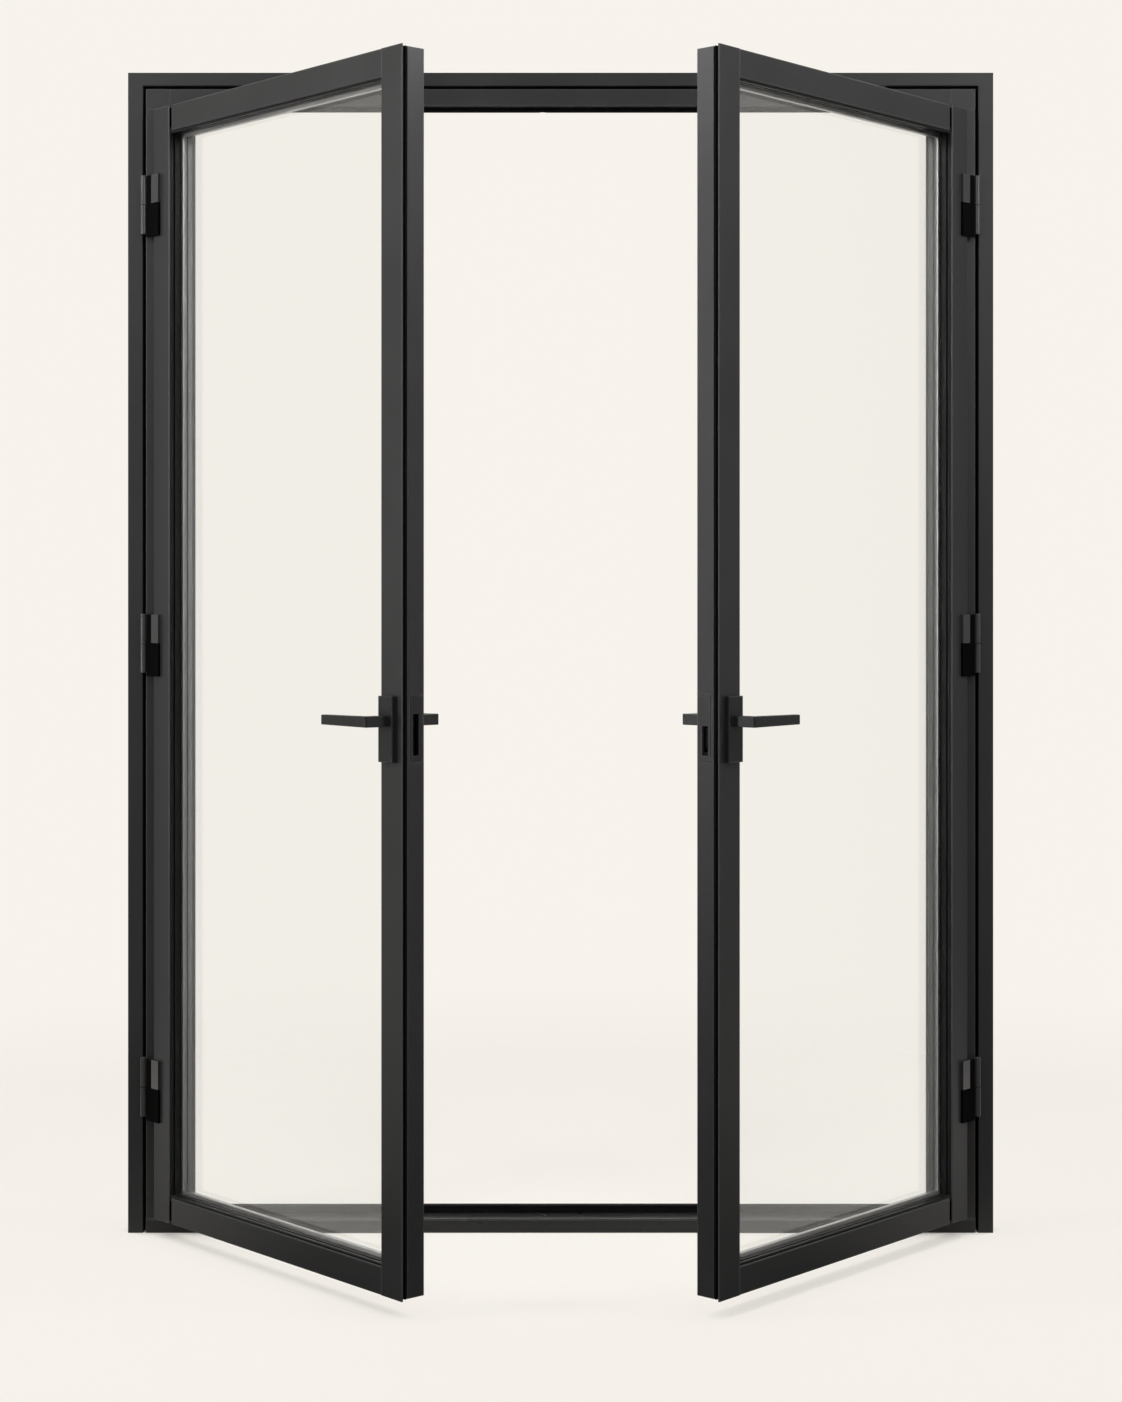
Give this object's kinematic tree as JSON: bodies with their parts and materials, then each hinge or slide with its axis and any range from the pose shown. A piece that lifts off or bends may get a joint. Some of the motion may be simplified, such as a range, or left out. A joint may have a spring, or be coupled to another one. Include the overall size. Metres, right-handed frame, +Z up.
{
  "type": "french doors",
  "caption": "Two glazed leaves in a slim dark metal frame with a low threshold, hung on lift-off hinges, with lever handles, a hook bolt and shoot bolts.",
  "frame": {"origin": "on the floor under the threshold, in the middle of the frame's width and depth", "axes": "+X to the viewer's right along the width, +Y into the depth away from the side the leaves open to, +Z up"},
  "size_m": [1.566, 0.6365, 2.1],
  "materials": {
    "dark_coat": "satin powder coat over aluminium profile",
    "hardware_coat": "satin dark coat over cast metal",
    "clear_glass": "clear float glass",
    "black_rubber": "matte extruded rubber",
    "grey_rubber": "matte grey glazing tape",
    "black_plastic": "moulded",
    "spacer_metal": "dull grey anodised",
    "bare_steel": "zinc plated"
  },
  "bodies": {
    "frame": {"outer_jamb_left": "dark_coat", "outer_jamb_right": "dark_coat", "outer_head": "dark_coat", "inner_jamb_left": "dark_coat", "inner_jamb_right": "dark_coat", "inner_head": "dark_coat", "corner_blocks": "dark_coat", "threshold": "dark_coat", "head_seal": "black_rubber", "threshold_seal": "black_rubber", "jamb_seals": "black_rubber", "hinge_sockets_left": "hardware_coat", "hinge_sockets_right": "hardware_coat", "hinge_pins": "bare_steel", "hinge_washers": "black_plastic"},
    "left_leaf": {"left_hinge_stile": "dark_coat", "left_lock_stile": "dark_coat", "left_top_rail": "dark_coat", "left_bottom_rail": "dark_coat", "left_end_plugs": "black_plastic", "left_glass": "clear_glass", "left_spacer": "spacer_metal", "left_front_gasket": "black_rubber", "left_back_gasket": "grey_rubber", "left_setting_blocks": "black_plastic", "left_beads": "dark_coat", "left_meeting_seal": "black_rubber", "left_hinge_knuckles": "hardware_coat", "left_hinge_packers": "black_plastic", "left_front_plate": "hardware_coat", "left_back_plate": "hardware_coat", "left_keeper_plate": "hardware_coat", "left_gear_case": "hardware_coat"},
    "right_leaf": {"right_hinge_stile": "dark_coat", "right_lock_stile": "dark_coat", "right_top_rail": "dark_coat", "right_bottom_rail": "dark_coat", "right_end_plugs": "black_plastic", "right_glass": "clear_glass", "right_spacer": "spacer_metal", "right_front_gasket": "black_rubber", "right_back_gasket": "grey_rubber", "right_setting_blocks": "black_plastic", "right_beads": "dark_coat", "right_meeting_seal": "black_rubber", "right_hinge_knuckles": "hardware_coat", "right_hinge_packers": "black_plastic", "right_front_plate": "hardware_coat", "right_back_plate": "hardware_coat", "right_lock_plate": "hardware_coat", "right_lock_case": "hardware_coat"},
    "left_lever": {"left_front_lever": "hardware_coat", "left_back_lever": "hardware_coat", "left_spindle": "bare_steel"},
    "right_lever": {"right_front_lever": "hardware_coat", "right_back_lever": "hardware_coat", "right_spindle": "bare_steel"},
    "upper_bolt": {"left_top_bolt": "bare_steel"},
    "lower_bolt": {"left_bottom_bolt": "bare_steel"},
    "hook": {"right_hook_bolt": "hardware_coat"}
  },
  "joints": [
    {"name": "left_leaf_swing", "type": "hinge", "parent": "frame", "child": "left_leaf", "pos_m": [-0.7534, -0.035, 1], "axis": [0, 0, -1], "range_deg": [-48.4, 121.6]},
    {"name": "right_leaf_swing", "type": "hinge", "parent": "frame", "child": "right_leaf", "pos_m": [0.7534, -0.035, 1], "axis": [0, 0, 1], "range_deg": [-48.4, 121.6]},
    {"name": "left_lever_turn", "type": "hinge", "parent": "left_leaf", "child": "left_lever", "pos_m": [-0.25631, -0.55542, 0.953], "axis": [-0.7478, -0.6639, 0], "range_deg": [0, 90]},
    {"name": "right_lever_turn", "type": "hinge", "parent": "right_leaf", "child": "right_lever", "pos_m": [0.25631, -0.55542, 0.953], "axis": [-0.7478, 0.6639, 0], "range_deg": [0, 90]},
    {"name": "upper_bolt_slide", "type": "slide", "parent": "left_leaf", "child": "upper_bolt", "axis": [0, 0, 1], "range_m": [0, 0.018]},
    {"name": "lower_bolt_slide", "type": "slide", "parent": "left_leaf", "child": "lower_bolt", "axis": [0, 0, -1], "range_m": [0, 0.018]},
    {"name": "hook_swing", "type": "hinge", "parent": "right_leaf", "child": "hook", "pos_m": [0.23829, -0.56683, 0.912], "axis": [0.7478, -0.6639, 0], "range_deg": [0, 90]}
  ],
  "couplings": [
    {"joint": "upper_bolt_slide", "follows": "left_lever_turn", "m_per_rad": 0.01145},
    {"joint": "lower_bolt_slide", "follows": "left_lever_turn", "m_per_rad": 0.01145},
    {"joint": "hook_swing", "follows": "right_lever_turn", "ratio": 1}
  ]
}
